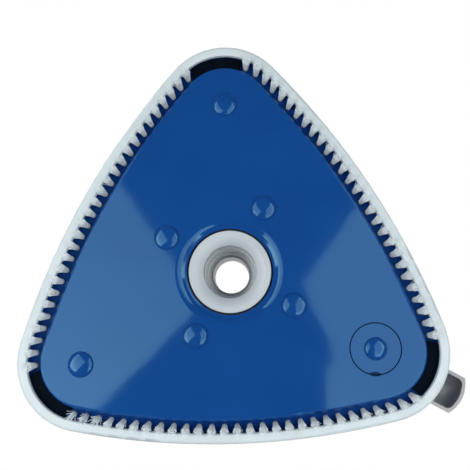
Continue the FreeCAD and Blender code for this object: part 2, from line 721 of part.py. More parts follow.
def make_top_shell():
    body = new_body("top_shell")
    wall = Drawing(body, "side_wall_plan", level="flange_top")
    wall.band("wall_inset", "wall_inset + shell_wall")
    wall.pad("seat_level - flange_top")
    pillars = Drawing(body, "pillar_plan", level="corner_post_top")
    pillars.rings("pillar_radius", "corner_dome_reach", FRONT_CORNERS)
    pillars.circle("pillar_radius", y="plug_reach")
    pillars.pad("seat_level - corner_post_top")
    above = Drawing(body, "above_crown", "XZ_Plane")
    rim = "corner_reach + overcut"
    rim_level = "crown_centre + sqrt(crown_radius^2 - (corner_reach + overcut)^2)"
    above.loop([
        (0, "crown_level"),
        (rim, rim_level),
        (rim, "seat_level + overcut"),
        (0, "seat_level + overcut"),
    ], {0: ("crown_radius", -1)})
    above.turn("Groove")

    crown = Drawing(body, "crown_section", "XZ_Plane")
    bore = "sleeve_bore + lap"
    inner = "(crown_radius - shell_wall)"
    crown.loop([
        (bore, f"crown_centre + sqrt({inner}^2 - ({bore})^2)"),
        (rim, f"crown_centre + sqrt({inner}^2 - ({rim})^2)"),
        (rim, rim_level),
        (bore, f"crown_centre + sqrt(crown_radius^2 - ({bore})^2)"),
    ], {0: (inner, -1), 2: ("crown_radius", 1)})
    crown.turn()
    trim = Drawing(body, "trim_plan", level="seat_level")
    trim.triangle("wall_inset")
    trim.circle("corner_reach + 2 * overcut")
    trim.pocket()

    flange = Drawing(body, "flange_plan", level="flange_top")
    flange.band("flange_inset", "wall_inset + shell_wall")
    flange.pad("shell_wall")
    seat = Drawing(body, "seat_plan", level="seat_under")
    seat.circle("seat_radius")
    seat.circle("sleeve_bore")
    seat.pad("shell_wall")
    sleeve = Drawing(body, "sleeve_plan", level="washer_top")
    sleeve.circle("sleeve_radius")
    sleeve.circle("sleeve_bore")
    sleeve.pad("seat_level - washer_top")

    sockets = Drawing(body, "post_sockets", level="seat_under")
    sockets.rings("post_radius + snug", "hub_dome_reach", HUB_SCREWS)
    sockets.pocket("seat_under - flange_top")
    wells = Drawing(body, "screw_wells", level="seat_level")
    wells.rings("screw_head + running", "corner_dome_reach", FRONT_CORNERS)
    wells.circle("screw_head + running", y="plug_reach")
    wells.pocket("seat_level - corner_seat")
    holes = Drawing(body, "screw_holes", level="seat_level")
    holes.rings("post_bore", "corner_dome_reach", FRONT_CORNERS)
    holes.circle("post_bore", y="plug_reach")
    holes.rings("post_bore", "hub_dome_reach", HUB_SCREWS)
    holes.pocket()

    rounded(body, "seat_edge_round", "seat_round", lambda e: on_ring(e, "seat_radius", "seat_level"))

    def crown_edge(edge):
        if edge.Degenerated:
            return False
        box = edge.BoundBox
        point = edge.valueAt((edge.FirstParameter + edge.LastParameter) / 2)
        reach = outline_point(math.degrees(math.atan2(point.y, point.x)), "wall_inset")[0].Length
        on_wall = abs(math.hypot(point.x, point.y) - reach) < TINY
        above_flange = box.ZMin > value_of("shell_flange_top") + TINY
        return on_wall and above_flange and box.DiagonalLength > value_of("pillar_radius")

    rounded(body, "crown_edge_round", "crown_round", crown_edge)


# ---------------------------------------------------------------- swivel neck

def make_neck():
    body = new_body("swivel_neck")
    section = Drawing(body, "neck_section", "XZ_Plane")
    groove_low = "ring_seal_level - ring_seal_radius - snug"
    groove_high = "ring_seal_level + ring_seal_radius + snug"
    groove_floor = "barrel_radius + running - 2 * ring_seal_radius - snug"
    steps = []
    for step in range(BORE_STEPS):
        level = f"(hose_under - (hose_under - lip_level) * {step} / {BORE_STEPS})"
        for wider, drop in ((step, 0), (step + 1, 1)):
            radius = f"bore_radius + (mouth_radius - bore_radius) * {wider} / {BORE_STEPS}"
            steps.append((radius, f"{level} - {drop} * edge_break"))
    section.loop([
        ("mouth_radius", "lip_level"),
        ("mouth_wide", "neck_under"),
        ("ring_radius", "neck_under"),
        ("ring_radius", "collar_under"),
        ("collar_radius", "collar_under"),
        ("collar_radius", "collar_top"),
        ("barrel_radius", "collar_top"),
        ("barrel_radius", groove_low),
        (groove_floor, groove_low),
        (groove_floor, groove_high),
        ("barrel_radius", groove_high),
        ("barrel_radius", "barrel_top"),
        ("hose_radius", "hose_under"),
        ("hose_radius", "hose_top"),
        ("small_hose_radius", "hose_top + neck_slope / 2"),
        ("small_hose_radius", "neck_top"),
        ("bore_radius", "neck_top"),
    ] + steps)
    section.turn()
    rounded(body, "ring_edge_round", "edge_break", lambda e: on_ring(e, "ring_radius", "neck_under"))
    rounded(body, "spigot_lead", "edge_break", lambda e: on_ring(e, "small_hose_radius", "neck_top"))

    seal = doc.addObject("Part::Torus", "neck_seal")
    seal.Label = "neck_seal"
    bind(seal, "Radius1", "barrel_radius + running - ring_seal_radius")
    bind(seal, "Radius2", "ring_seal_radius")
    bind(seal, "Placement.Base.z", "ring_seal_level")
    keep(seal)

    washer = new_body("thrust_washer")
    ring = Drawing(washer, "washer_plan", level="washer_under")
    ring.circle("collar_radius")
    ring.circle("sleeve_bore")
    ring.pad("washer_rise")


# ---------------------------------------------------------------- handle and what carries it

def make_bracket():
    body = new_body("handle_bracket")
    ring = Drawing(body, "bracket_plan", level="seat_level")
    ring.circle("bracket_radius")
    ring.circle("bracket_bore")
    ring.pad("bracket_rise")
    rounded(body, "bracket_round", "edge_break", lambda e: on_ring(e, "bracket_radius", "bracket_top"))
    lug = Drawing(body, "lug_plan", level="seat_level")
    lug.circle("lug_radius", x="hub_dome_reach")
    lug_pad = lug.pad("bracket_rise")
    tab = Drawing(body, "tab_plan", level="seat_level")
    tab.loop([
        ("bracket_bore + lap", "-lug_radius"),
        ("hub_dome_reach", "-lug_radius"),
        ("hub_dome_reach", "lug_radius"),
        ("bracket_bore + lap", "lug_radius"),
    ])
    patterned(body, "lugs", [lug_pad, tab.pad("bracket_rise")], len(HUB_SCREWS))

    foot = Drawing(body, "ear_section", "YZ_Plane", level="ear_inside")
    foot.loop([
        ("-ear_foot", "seat_level"),
        ("ear_foot", "seat_level"),
        ("ear_radius", "hinge_level"),
        ("-ear_radius", "hinge_level"),
    ])
    head = Drawing(body, "ear_head", "YZ_Plane", level="ear_inside")
    head.circle("ear_radius", y="hinge_level")
    mirrored(body, "ears", [foot.pad("ear_wall"), head.pad("ear_wall")])

    stops = Drawing(body, "stop_plan", level="bracket_top - lap")
    for x in (-1, 1):
        for y in (-1, 1):
            near = f"{y} * stop_near"
            far = f"{y} * (stop_near + stop_length)"
            stops.loop([
                (f"{x} * (arm_inside + lap)", near),
                (f"{x} * (ear_inside + lap)", near),
                (f"{x} * (ear_inside + lap)", far),
                (f"{x} * (arm_inside + lap)", far),
            ])
    stops.pad("stop_top - bracket_top + lap")

    pins = Drawing(body, "pin_seats", "YZ_Plane")
    pins.circle("pin_radius + snug / 2", y="hinge_level")
    pins.pocket("2 * (ear_outside + lap)", both=True)
    holes = Drawing(body, "bracket_screw_holes", level="bracket_top")
    holes.rings("post_bore", "hub_dome_reach", HUB_SCREWS)
    holes.pocket("bracket_rise")


def make_pins():
    for side, turn in (("right", 0), ("left", 180)):
        body = new_body(f"pivot_pin_{side}", turn, (0, 0, value_of("hinge_level")))
        shank = Drawing(body, f"pin_shank_{side}", "YZ_Plane", level="arm_inside - pin_past")
        shank.circle("pin_radius")
        shank.pad("ear_outside - arm_inside + pin_past")
        head = Drawing(body, f"pin_head_{side}", "YZ_Plane", level="ear_outside")
        head.circle("pin_head")
        head.pad("pin_head_rise")


def make_screws():
    """Pan-head screws, drawn as one section that is turned at each place."""
    groups = {
        "shell_screws": ("screw_length", "corner_seat", [
            ("0", "plug_reach"),
            ("corner_dome_reach * cos(-30)", "corner_dome_reach * sin(-30)"),
            ("corner_dome_reach * cos(-150)", "corner_dome_reach * sin(-150)"),
        ]),
        "bracket_screws": ("bracket_screw_length", "bracket_top", [
            (f"hub_dome_reach * cos({angle})", f"hub_dome_reach * sin({angle})")
            for angle in HUB_SCREWS
        ]),
    }
    for label, (length, seat, spots) in groups.items():
        screws = []
        for index, (x, y) in enumerate(spots, start=1):
            shank = doc.addObject("Part::Cylinder", f"{label}_shank_{index}")
            bind(shank, "Radius", "screw_radius")
            bind(shank, "Height", length)
            bind(shank, "Placement.Base.z", f"{seat} - {length}")
            head = doc.addObject("Part::Cone", f"{label}_head_{index}")
            bind(head, "Radius1", "screw_head")
            bind(head, "Radius2", "screw_head_top")
            bind(head, "Height", "screw_head_rise")
            bind(head, "Placement.Base.z", seat)
            for piece in (shank, head):
                bind(piece, "Placement.Base.x", x)
                bind(piece, "Placement.Base.y", y)
            screw = doc.addObject("Part::Fuse", f"{label}_{index}")
            screw.Base = head
            screw.Tool = shank
            screws.append(screw)
        group = doc.addObject("Part::Compound", label)
        group.Label = label
        group.Links = screws
        keep(group, len(spots))


def make_handle():
    body = new_body("handle")
    spigot = Drawing(body, "spigot_section", "XZ_Plane", level="-fork_end + spigot_lap")
    spigot.loop([
        ("pole_radius", "spigot_under"),
        ("pole_radius", "hinge_level"),
        ("-pole_radius", "hinge_level"),
        ("-pole_radius", "spigot_under"),
        ("-spigot_bore", "spigot_under"),
        ("-spigot_bore", "hinge_level"),
        ("spigot_bore", "hinge_level"),
        ("spigot_bore", "spigot_under"),
    ], {1: ("pole_radius", 1), 5: ("spigot_bore", -1)})
    spigot.pad("handle_reach - fork_end + spigot_lap", back=True)
    nose = Drawing(body, "arch_nose_cap", "XZ_Plane", level="-fork_end + spigot_lap")
    nose.loop([
        ("pole_radius", "hinge_level"),
        ("-pole_radius", "hinge_level"),
    ], {0: ("pole_radius", 1)})
    nose.pad("nose_round + handle_wall", back=True)

    tip = Drawing(body, "tip_trim", level="spigot_under")
    shoulder = "handle_reach - tip_bulge"
    tip.loop([
        ("pole_radius", shoulder),
        ("pole_radius + overcut", shoulder),
        ("pole_radius + overcut", "handle_reach + overcut"),
        ("-pole_radius - overcut", "handle_reach + overcut"),
        ("-pole_radius - overcut", shoulder),
        ("-pole_radius", shoulder),
    ], {5: ("tip_radius", -1)})
    tip.pocket(back=True)

    end = Drawing(body, "tip_wall", level="spigot_under")
    end.loop([
        ("pole_radius", shoulder),
        ("-pole_radius", shoulder),
        ("-pole_radius", f"{shoulder} - handle_wall"),
        ("pole_radius", f"{shoulder} - handle_wall"),
    ], {0: ("tip_radius", 1), 2: ("tip_radius", -1)})
    end.pad("pole_skirt + pole_radius")
    above = Drawing(body, "above_arch", "XZ_Plane", level="-handle_reach + tip_bulge + 3 * handle_wall")
    above.loop([
        ("pole_radius", "hinge_level"),
        ("pole_radius + overcut", "hinge_level"),
        ("pole_radius + overcut", "hinge_level + pole_radius + overcut"),
        ("-pole_radius - overcut", "hinge_level + pole_radius + overcut"),
        ("-pole_radius - overcut", "hinge_level"),
        ("-pole_radius", "hinge_level"),
    ], {5: ("pole_radius", -1)})
    above.pocket(back=False)

    fork = Drawing(body, "fork_plan", level="fork_under")
    fork.loop([
        ("arm_outside", 0),
        ("arm_outside", "arm_straight"),
        ("pole_radius", "fork_end"),
        ("-pole_radius", "fork_end"),
        ("-arm_outside", "arm_straight"),
        ("-arm_outside", 0),
        ("-arm_inside", 0),
        ("-arm_inside", "arm_straight"),
        ("arm_inside", "arm_straight"),
        ("arm_inside", 0),
    ], {7: ("arm_inside", -1)})
    fork.pad("2 * arm_half_rise")
    head = Drawing(body, "arm_head_right", "YZ_Plane", level="arm_inside")
    head.circle("arm_head", y="hinge_level")
    mirrored(body, "arm_heads", [head.pad("arm_wall")])

    hollow = Drawing(body, "fork_hollow", level="fork_under")
    hollow.loop([
        ("spigot_bore", "arm_straight + arm_inside + 2 * handle_wall"),
        ("spigot_bore", "fork_end + lap"),
        ("-spigot_bore", "fork_end + lap"),
        ("-spigot_bore", "arm_straight + arm_inside + 2 * handle_wall"),
    ])
    hollow.pocket("2 * arm_half_rise - handle_wall", back=True)
    post = Drawing(body, "clip_post", level="spigot_under")
    post.circle("clip_bend - clip_wall / 2 - running", y="clip_centre")
    post.pad("pole_skirt + pole_radius - handle_wall / 2")

    pivots = Drawing(body, "pivot_bores", "YZ_Plane")
    pivots.circle("pin_radius + pin_gap", y="hinge_level")
    pivots.pocket("2 * (arm_outside + lap)", both=True)
    buttons = Drawing(body, "button_holes", "YZ_Plane")
    buttons.circle("button_radius + button_gap", x="button_reach", y="hinge_level")
    buttons.pocket("2 * (pole_radius + lap)", both=True)

    def fork_shoulder(edge):
        box = edge.BoundBox
        upright = max(box.XLength, box.YLength) < TINY and box.ZLength > value_of("arm_half_rise")
        at_shoulder = abs(box.YMin - value_of("arm_straight")) < TINY
        return upright and at_shoulder and abs(box.XMin) > value_of("arm_inside + lap")

    rounded(body, "fork_shoulder_round", "shoulder_round", fork_shoulder)

    def arch_nose(edge):
        box = edge.BoundBox
        upright = box.YLength < TINY and abs(box.YMin - value_of("fork_end - spigot_lap")) < TINY
        return upright and box.ZMax > value_of("hinge_level + pole_radius") - TINY

    rounded(body, "arch_nose_round", "nose_round", arch_nose)

    def fork_rim(edge):
        box = edge.BoundBox
        low = abs(box.ZMin - value_of("fork_under")) < TINY
        high = abs(box.ZMin - value_of("hinge_level + arm_half_rise")) < TINY
        level = box.ZLength < TINY and (low or high)
        inner = max(box.XMax, -box.XMin) < value_of("arm_inside") + TINY
        crotch = inner and box.YMax < value_of("arm_straight + arm_inside") + TINY
        return level and crotch and box.YLength > value_of("arm_wall")

    rounded(body, "fork_rim_round", "fork_round", fork_rim)

    def tip_corner(edge):
        box = edge.BoundBox
        inner = box.YMin > value_of(f"{shoulder} - handle_wall") - TINY
        far = inner and box.YMax < value_of("handle_reach") - TINY
        crest = abs(box.ZMax - value_of("hinge_level + spigot_bore")) < TINY
        return far and crest and box.XLength > value_of("spigot_bore")

    rounded(body, "tip_inner_round", "tip_round", tip_corner)


def make_lock():
    clip = new_body("spring_clip")
    path = Drawing(clip, "clip_path", level="hinge_level")
    centre = Vector(0, value_of("clip_centre"), 0)
    bend = value_of("clip_bend")
    end_x = "button_root - running - clip_wall"
    end = Vector(value_of(end_x), value_of("clip_end"), 0)
    reach = end - centre
    touch = math.atan2(reach.y, reach.x) - math.acos(bend / reach.Length)
    ring = Part.Circle(centre, Vector(0, 0, 1), bend)
    arc = path.sketch.addGeometry(Part.ArcOfCircle(ring, -math.pi / 2, touch))
    leave = centre + Vector(bend * math.cos(touch), bend * math.sin(touch), 0)
    leaf = path.sketch.addGeometry(Part.LineSegment(leave, end))
    path.hold("Radius", arc, text="clip_bend")
    path.place(arc, 3, 0, "clip_centre")
    path.hold("DistanceX", -1, 1, arc, 1, text=0)
    path.sketch.addConstraint(Sketcher.Constraint("Tangent", arc, 2, leaf, 1))
    path.place(leaf, 2, end_x, "clip_end")
    strip = Drawing(clip, "clip_section", "YZ_Plane")
    low = "clip_centre - clip_bend - clip_wall / 2"
    high = "clip_centre - clip_bend + clip_wall / 2"
    strip.loop([
        (low, "hinge_level - clip_rise / 2"),
        (high, "hinge_level - clip_rise / 2"),
        (high, "hinge_level + clip_rise / 2"),
        (low, "hinge_level + clip_rise / 2"),
    ])
    pipe = clip.newObject("PartDesign::AdditivePipe", "clip_leaf")
    pipe.Profile = strip.sketch
    pipe.Spine = path.sketch
    clip.Tip = pipe
    mirrored(clip, "clip_leaves", [pipe])

    for side, turn in (("right", 0), ("left", 180)):
        base = (0, value_of("button_reach"), value_of("hinge_level"))
        body = new_body(f"button_{side}", turn, base)
        stem = Drawing(body, f"button_plan_{side}", "YZ_Plane", level="button_root")
        stem.circle("button_radius")
        stem.pad("pole_radius + button_out - button_root")

        def outer_rim(edge):
            return edge.BoundBox.XMin > value_of("pole_radius + button_out") - TINY

        rounded(body, f"button_crown_{side}", "button_round", outer_rim)


make_base_plate()
make_access_plug()
make_weights()
make_channel_pieces()
make_bristles()
make_bumper()
make_top_shell()
make_neck()
make_bracket()
make_pins()
make_screws()
make_handle()
make_lock()
doc.recompute()

for thing in doc.Objects:
    if "Invalid" in thing.State or "Error" in thing.State:
        raise RuntimeError(f"{thing.Name} did not recompute: {thing.State}")
    if thing.TypeId in ("PartDesign::Pocket", "PartDesign::Groove"):
        if thing.Shape.Volume > thing.BaseFeature.Shape.Volume - TINY:
            raise RuntimeError(f"{thing.Name} cuts nothing")

os.makedirs("parts", exist_ok=True)
for label, (thing, solids) in sub_parts.items():
    shape = thing.Shape
    if shape.isNull() or not shape.isValid() or len(shape.Solids) != solids:
        raise RuntimeError(f"{label}: not valid, or {len(shape.Solids)} solids and not {solids}")
for label, (thing, solids) in sub_parts.items():
    thing.Shape.exportStep(f"parts/{label}.step")
print(len(sub_parts), "sub-parts written")
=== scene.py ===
import json
import math
import random

import bmesh
import bpy
from mathutils import Matrix, Vector


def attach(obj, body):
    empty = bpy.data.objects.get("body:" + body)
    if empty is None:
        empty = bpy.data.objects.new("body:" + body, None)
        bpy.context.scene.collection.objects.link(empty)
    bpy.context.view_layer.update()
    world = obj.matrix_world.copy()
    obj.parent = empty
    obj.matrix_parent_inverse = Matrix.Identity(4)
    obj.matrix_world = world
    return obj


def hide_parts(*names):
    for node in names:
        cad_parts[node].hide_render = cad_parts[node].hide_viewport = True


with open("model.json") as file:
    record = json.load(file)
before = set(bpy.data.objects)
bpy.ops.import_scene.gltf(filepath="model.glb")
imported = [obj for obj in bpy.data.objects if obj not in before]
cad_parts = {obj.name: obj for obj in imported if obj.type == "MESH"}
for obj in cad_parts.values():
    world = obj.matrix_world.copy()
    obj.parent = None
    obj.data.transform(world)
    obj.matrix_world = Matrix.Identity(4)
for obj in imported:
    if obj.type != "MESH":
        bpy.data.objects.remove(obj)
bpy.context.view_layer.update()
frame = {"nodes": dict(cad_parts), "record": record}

bl_info = {
    "name": "Triangular pool vacuum head",
    "version": (1, 0, 0),
    "blender": (4, 5, 0),
    "location": "3D View > Sidebar > Vacuum Head",
    "description": "Dresses the vacuum head with bristles, screws and moulded finishes",
    "category": "Object",
}

MM = 0.001
STRIPS = ("left", "front", "right")
FILAMENT_TIP = 0.12 * MM  # length of a filament's rounded end
PLAIN_TUFTS = 5  # models that the tufts are copied from
WILD_TUFTS = 3
# Painted shade for the gap round the neck's collar
COLLAR_GAP_SHADE = (0.004, 0.008, 0.016)

# Corners of the two soft boxes under the head, in metres, and their level
LEFT_BOX = ((-0.042, -0.048), (-0.713, -0.248), (-0.75, -0.85), (0.27, -0.66))
RIGHT_BOX = (
    (0.60, 0.154), (0.070, 0.087), (0.037, 0.123), (0.005, 0.171), (-0.023, 0.189),
    (-0.053, 0.192), (-0.40, 0.392), (-0.25, 0.75), (0.55, 0.75))
BOX_LEVEL = -0.6


# Sizes and colours that a user would change

class BrushSizes(bpy.types.PropertyGroup):
    filaments: bpy.props.IntProperty(
        name="Filaments", description="Filaments in each tuft", default=76, min=12, max=110)
    filament_radius: bpy.props.FloatProperty(
        name="Filament radius", description="Radius of one filament",
        default=0.19 * MM, unit="LENGTH")
    root_radius: bpy.props.FloatProperty(
        name="Root radius", description="Radius of a tuft where it leaves the strip",
        default=1.7 * MM, unit="LENGTH")
    flare_along: bpy.props.FloatProperty(
        name="Flare along", description="Half width of a tuft's tip along the strip",
        default=3.1 * MM, unit="LENGTH")
    flare_across: bpy.props.FloatProperty(
        name="Flare across", description="Half width of a tuft's tip across the strip",
        default=2.4 * MM, unit="LENGTH")
    ragged: bpy.props.FloatProperty(
        name="Ragged tips", description="How much shorter the shortest filaments are",
        default=1.5 * MM, unit="LENGTH")
    splayed: bpy.props.IntProperty(
        name="Splayed tufts", description="Worn tufts at one end of the left strip",
        default=3, min=0, max=8)


class ScrewSizes(bpy.types.PropertyGroup):
    recess_width: bpy.props.FloatProperty(
        name="Recess width", description="Width of a slot of the cross recess",
        default=0.95 * MM, unit="LENGTH")
    recess_length: bpy.props.FloatProperty(
        name="Recess length", description="Length of a slot of the cross recess",
        default=4.0 * MM, unit="LENGTH")
    recess_depth: bpy.props.FloatProperty(
        name="Recess depth", description="Depth of the cross recess",
        default=1.3 * MM, unit="LENGTH")
    pitch: bpy.props.FloatProperty(
        name="Pitch", description="Length of one turn of the thread", default=0.9 * MM, unit="LENGTH")


class Colours(bpy.types.PropertyGroup):
    plate: bpy.props.FloatVectorProperty(
        name="Base plate", description="Glossy blue of the plate and shell",
        default=(0.0056, 0.057, 0.238), subtype="COLOR")
    strip: bpy.props.FloatVectorProperty(
        name="Brush strips", description="Darker blue of the brush strips",
        default=(0.003, 0.036, 0.20), subtype="COLOR")
    bumper: bpy.props.FloatVectorProperty(
        name="Bumper", description="Pale soft vinyl", default=(0.585, 0.675, 0.705), subtype="COLOR")
    neck: bpy.props.FloatVectorProperty(
        name="Neck", description="Pale grey of the swivel neck and buttons",
        default=(0.455, 0.515, 0.555), subtype="COLOR")
    handle: bpy.props.FloatVectorProperty(
        name="Handle", description="Grey of the handle and its bracket",
        default=(0.205, 0.225, 0.25), subtype="COLOR")
    bristle: bpy.props.FloatVectorProperty(
        name="Bristles", description="White nylon filaments",
        default=(0.87, 0.96, 1.0), subtype="COLOR")
    rubber: bpy.props.FloatVectorProperty(
        name="Rubber", description="Black seals", default=(0.0015, 0.003, 0.007), subtype="COLOR")
    washer: bpy.props.FloatVectorProperty(
        name="Washer", description="White thrust washer", default=(0.78, 0.78, 0.75), subtype="COLOR")
    steel: bpy.props.FloatVectorProperty(
        name="Steel", description="Stainless screws, pins and clip",
        default=(0.58, 0.58, 0.59), subtype="COLOR")
    ballast: bpy.props.FloatVectorProperty(
        name="Ballast", description="Dark coated weights", default=(0.10, 0.10, 0.11), subtype="COLOR")


class StageSizes(bpy.types.PropertyGroup):
    floor_width: bpy.props.FloatProperty(
        name="Floor width", description="Side of the square floor", default=8.0, unit="LENGTH")
    camera_place: bpy.props.FloatVectorProperty(
        name="Camera place", description="Where the camera stands, below the head",
        default=(-19.5 * MM, 22.59 * MM, -407.62 * MM), subtype="TRANSLATION")
    camera_turn: bpy.props.FloatVectorProperty(
        name="Camera turn", description="How the camera is turned",
        default=(math.radians(-172.677), math.radians(-0.991), math.radians(61.973)), subtype="EULER")
    camera_lens: bpy.props.FloatProperty(
        name="Camera lens", description="Focal length in millimetres on a 36 mm sensor", default=45.547)
    lamp_level: bpy.props.FloatProperty(
        name="Lamp level", description="Radiance of the soft boxes where they are brightest", default=5.8)
    sky_level: bpy.props.FloatProperty(
        name="Sky level", description="Even light from all round", default=0.24)
    top_power: bpy.props.FloatProperty(
        name="Top power", description="Power of the overhead lamp in watts", default=27.0)
    top_place: bpy.props.FloatVectorProperty(
        name="Top place", description="Where the overhead lamp hangs",
        default=(0.55, -0.75, 1.35), subtype="TRANSLATION")
    top_width: bpy.props.FloatProperty(
        name="Top width", description="Side of the square overhead lamp", default=1.2, unit="LENGTH")


# Nodes, and the sums that can be written on what they give

class Wire:
    """One output of a node. A sum written on it adds its Math nodes."""

    def __init__(self, nodes, socket):
        self.nodes = nodes
        self.socket = socket

    def __add__(self, other):
        return self.nodes.sum("ADD", self, other)

    def __radd__(self, other):
        return self.nodes.sum("ADD", other, self)

    def __sub__(self, other):
        return self.nodes.sum("SUBTRACT", self, other)

    def __rsub__(self, other):
        return self.nodes.sum("SUBTRACT", other, self)

    def __mul__(self, other):
        return self.nodes.sum("MULTIPLY", self, other)

    def __rmul__(self, other):
        return self.nodes.sum("MULTIPLY", other, self)

    def __gt__(self, other):
        return self.nodes.sum("GREATER_THAN", self, other)

    def __lt__(self, other):
        return self.nodes.sum("LESS_THAN", self, other)


class Nodes:
    """The nodes of a finish or of the world."""

    def __init__(self, tree):
        self.tree = tree

    def node(self, kind, settings=None, inputs=None, out=0):
        """Adds a node. Its settings come first, then the values or wires of its sockets."""
        made = self.tree.nodes.new(kind)
        for name, value in (settings or {}).items():
            setattr(made, name, value)
        for name, value in (inputs or {}).items():
            self.plug(made.inputs[name], value)
        return Wire(self, made.outputs[out])

    def plug(self, socket, value):
        if isinstance(value, Wire):
            self.tree.links.new(value.socket, socket)
        else:
            socket.default_value = value

    def sum(self, operation, first, second):
        return self.node("ShaderNodeMath", {"operation": operation}, {0: first, 1: second})

    def spread(self, value, low, high, start=0.0, end=1.0):
        """Maps value from low..high to start..end, and holds it there."""
        return self.node("ShaderNodeMapRange", {"clamp": True}, {
            "Value": value, "From Min": low, "From Max": high, "To Min": start, "To Max": end})

    def between(self, value, low, high):
        return (value > low) * (value < high)

    def mixed(self, amount, first, second):
        """A shader between two shaders."""
        return self.node("ShaderNodeMixShader", inputs={0: amount, 1: first, 2: second})


class Finish(Nodes):
    """A material, its nodes and the one shader they feed."""

    def __init__(self, name):
        self.material = bpy.data.materials.new(name)
        self.material.use_nodes = True
        super().__init__(self.material.node_tree)
        self.shader = self.tree.nodes["Principled BSDF"]
        self.place = self.node("ShaderNodeTexCoord", out="Object")

    def stretched(self, stretch, turn=(0, 0, 0)):
        return self.node("ShaderNodeMapping", {"vector_type": "POINT"}, {
            "Vector": self.place, "Scale": stretch, "Rotation": turn})

    def noise(self, size, detail=2.0, roughness=0.5, place=None):
        """Cloudy pattern whose features are about size metres across."""
        return self.node("ShaderNodeTexNoise", {"noise_dimensions": "3D"}, {
            "Vector": place or self.place, "Scale": 1 / size, "Detail": detail, "Roughness": roughness})

    def cells(self, size, feature="F1", out="Distance"):
        """Cells about size metres across: how far a point is from the nearest one's middle, or its colour."""
        return self.node("ShaderNodeTexVoronoi", {"feature": feature}, {
            "Vector": self.place, "Scale": 1 / size}, out=out)

    def tint(self, amount, first, second):
        """A colour between two colours."""
        return self.node("ShaderNodeMix", {"data_type": "RGBA"}, {
            0: amount, 6: full(first), 7: full(second)}, out=2)

    def level(self, axis):
        """Where a point is along X, Y or Z, in metres."""
        return self.node("ShaderNodeSeparateXYZ", inputs={"Vector": self.place}, out=axis)

    def away(self, x, y):
        """How far a point is from an upright axis through x, y, in metres."""
        flat = self.node("ShaderNodeMapping", {"vector_type": "POINT"}, {
            "Vector": self.place, "Location": (-x, -y, 0), "Scale": (1.0, 1.0, 0.0)})
        return self.node("ShaderNodeVectorMath", {"operation": "LENGTH"}, {0: flat}, out="Value")

    def relief(self, *layers):
        """Bump from (height, depth in metres) layers, finest last."""
        normal = None
        for height, depth in layers:
            inputs = {"Height": height, "Strength": 1.0, "Distance": depth}
            if normal:
                inputs["Normal"] = normal
            normal = self.node("ShaderNodeBump", inputs=inputs)
        self.plug(self.shader.inputs["Normal"], normal)

    def set(self, **sockets):
        for name, value in sockets.items():
            if name.endswith("Color") and not isinstance(value, Wire):
                value = full(value)
            self.plug(self.shader.inputs[name.replace("_", " ")], value)


def full(colour):
    """A colour with its alpha, as a socket wants it."""
    if isinstance(colour, Wire):
        return colour
    return (*tuple(colour)[:3], 1.0)


def shade(colour, factor):
    return tuple(channel * factor for channel in tuple(colour)[:3])


# Places in the frame

def box_of(node):
    """The low and the high corner of the box round a node."""
    corners = [Vector(corner) for corner in frame["nodes"][node].bound_box]
    low = Vector([min(places) for places in zip(*corners)])
    high = Vector([max(places) for places in zip(*corners)])
    return low, high


# Finishes

def scuffs(finish, turn, keep_above):
    """Fine hair scratches that run one way."""
    lines = finish.noise(0.9 * MM, 3.0, 0.6, finish.stretched((0.03, 1.0, 1.0), turn))
    patches = finish.noise(30 * MM, 2.0)
    return finish.spread(lines, keep_above, keep_above + 0.1) * finish.spread(patches, 0.45, 0.7)


def plug_gap_shade(finish):
    """Where shade is painted: in the gap and the notch round the access plug."""
    low, high = box_of("access_plug")
    middle = (low + high) / 2
    radius = high.x - middle.x
    seal_low, seal_high = box_of("plug_seal")
    ring = finish.between(finish.away(middle.x, middle.y), radius - 2.2 * MM, radius + 2.4 * MM)
    return ring * finish.between(finish.level("Z"), seal_low.z - 2.7 * MM, seal_high.z + 0.2 * MM)


def blue_plastic(name, colour):
    """Glossy moulded blue: slow drift of tone, flow waves, hair scratches, dust and painted shade in the gap
    round the plug.
    """
    finish = Finish(name)
    speck_gap = 11 * MM
    # painted shade: the gap and notch round the access plug turn darker blue and rougher
    plug_shade = plug_gap_shade(finish)
    drift = finish.noise(60 * MM, 3.0)
    flow = finish.noise(9 * MM, 1.5, 0.4)
    peel = finish.noise(1.6 * MM, 2.0)
    marks = scuffs(finish, (0, 0, 0.5), 0.66) + scuffs(finish, (0, 0, 2.1), 0.68)
    chance = finish.cells(speck_gap, out="Color")
    lucky = finish.node("ShaderNodeSeparateColor", inputs={"Color": chance}) > 0.86
    specks = (finish.cells(speck_gap) < 0.045) * lucky
    tone = finish.tint(finish.spread(drift, 0.3, 0.7), shade(colour, 0.95), shade(colour, 1.06))
    dusty = finish.tint(specks * 0.85, tone, shade(colour, 0.25))
    finish.set(
        Base_Color=finish.tint(plug_shade, dusty, shade(colour, 0.45)),
        Roughness=0.05 + 0.04 * drift + 0.14 * marks + 0.3 * specks + 0.8 * plug_shade,
        Specular_Tint=full((0.46, 0.93, 1.0)),
    )
    finish.relief((flow, 0.02 * MM), (peel, 0.0025 * MM), (1 - marks, 0.002 * MM))
    return finish.material


def navy_plastic(name, colour):
    """Darker satin blue with a fine spark grain."""
    finish = Finish(name)
    drift = finish.noise(20 * MM, 3.0)
    grain = finish.noise(0.35 * MM, 2.0)
    finish.set(
        Base_Color=finish.tint(drift, shade(colour, 0.8), shade(colour, 1.25)),
        Roughness=0.3 + 0.12 * drift,
        Specular_IOR_Level=0.2,
        Specular_Tint=full((0.2, 0.6, 1.0)),
    )
    finish.relief((grain, 0.012 * MM))
    return finish.material


